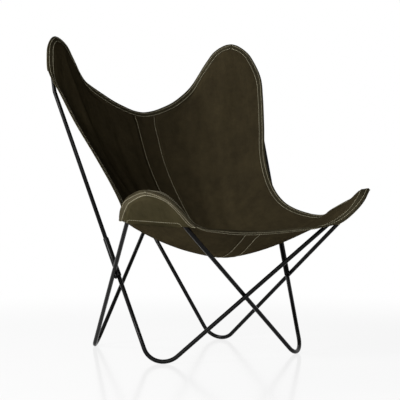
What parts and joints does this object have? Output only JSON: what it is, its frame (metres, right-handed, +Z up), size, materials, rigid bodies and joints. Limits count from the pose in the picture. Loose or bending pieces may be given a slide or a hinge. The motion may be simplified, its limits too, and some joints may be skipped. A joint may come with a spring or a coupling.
{
  "type": "butterfly sling chair",
  "caption": "Low lounge chair: a one-piece canvas sling hangs by its corner pockets from the tall and low ears of a crossed frame of bent steel rod.",
  "frame": {"origin": "on the floor, below the middle of the chair's box", "axes": "+Z up, the front of the chair towards -Y, +X to the right as seen from in front"},
  "size_m": [0.743, 0.8116, 0.9319],
  "materials": {
    "rod_paint": "satin black paint",
    "sleeve_paint": "satin black paint, a little duller",
    "weld_paint": "black paint over a weld bead",
    "canvas": "matt dark olive-brown cotton canvas",
    "pocket_canvas": "matt olive cotton canvas",
    "binding_tape": "matt olive folded binding"
  },
  "bodies": {
    "root": {"lower_rod_right_ear": "rod_paint", "lower_rod_left_ear": "rod_paint", "rear_hoop_left": "rod_paint", "rear_hoop_right": "rod_paint", "side_sleeve_left": "sleeve_paint", "side_sleeve_right": "sleeve_paint", "back_sleeve_left": "sleeve_paint", "back_sleeve_right": "sleeve_paint", "weld_front": "weld_paint", "weld_back": "weld_paint", "weld_side_left": "weld_paint", "weld_side_right": "weld_paint", "canvas_panel_left": "canvas", "canvas_panel_right": "canvas", "canvas_centre_band": "canvas", "side_binding_left": "binding_tape", "side_binding_right": "binding_tape", "back_binding": "binding_tape", "front_binding": "binding_tape", "rear_pocket_left": "pocket_canvas", "rear_pocket_right": "pocket_canvas", "front_pocket_left": "pocket_canvas", "front_pocket_right": "pocket_canvas"}
  },
  "joints": []
}
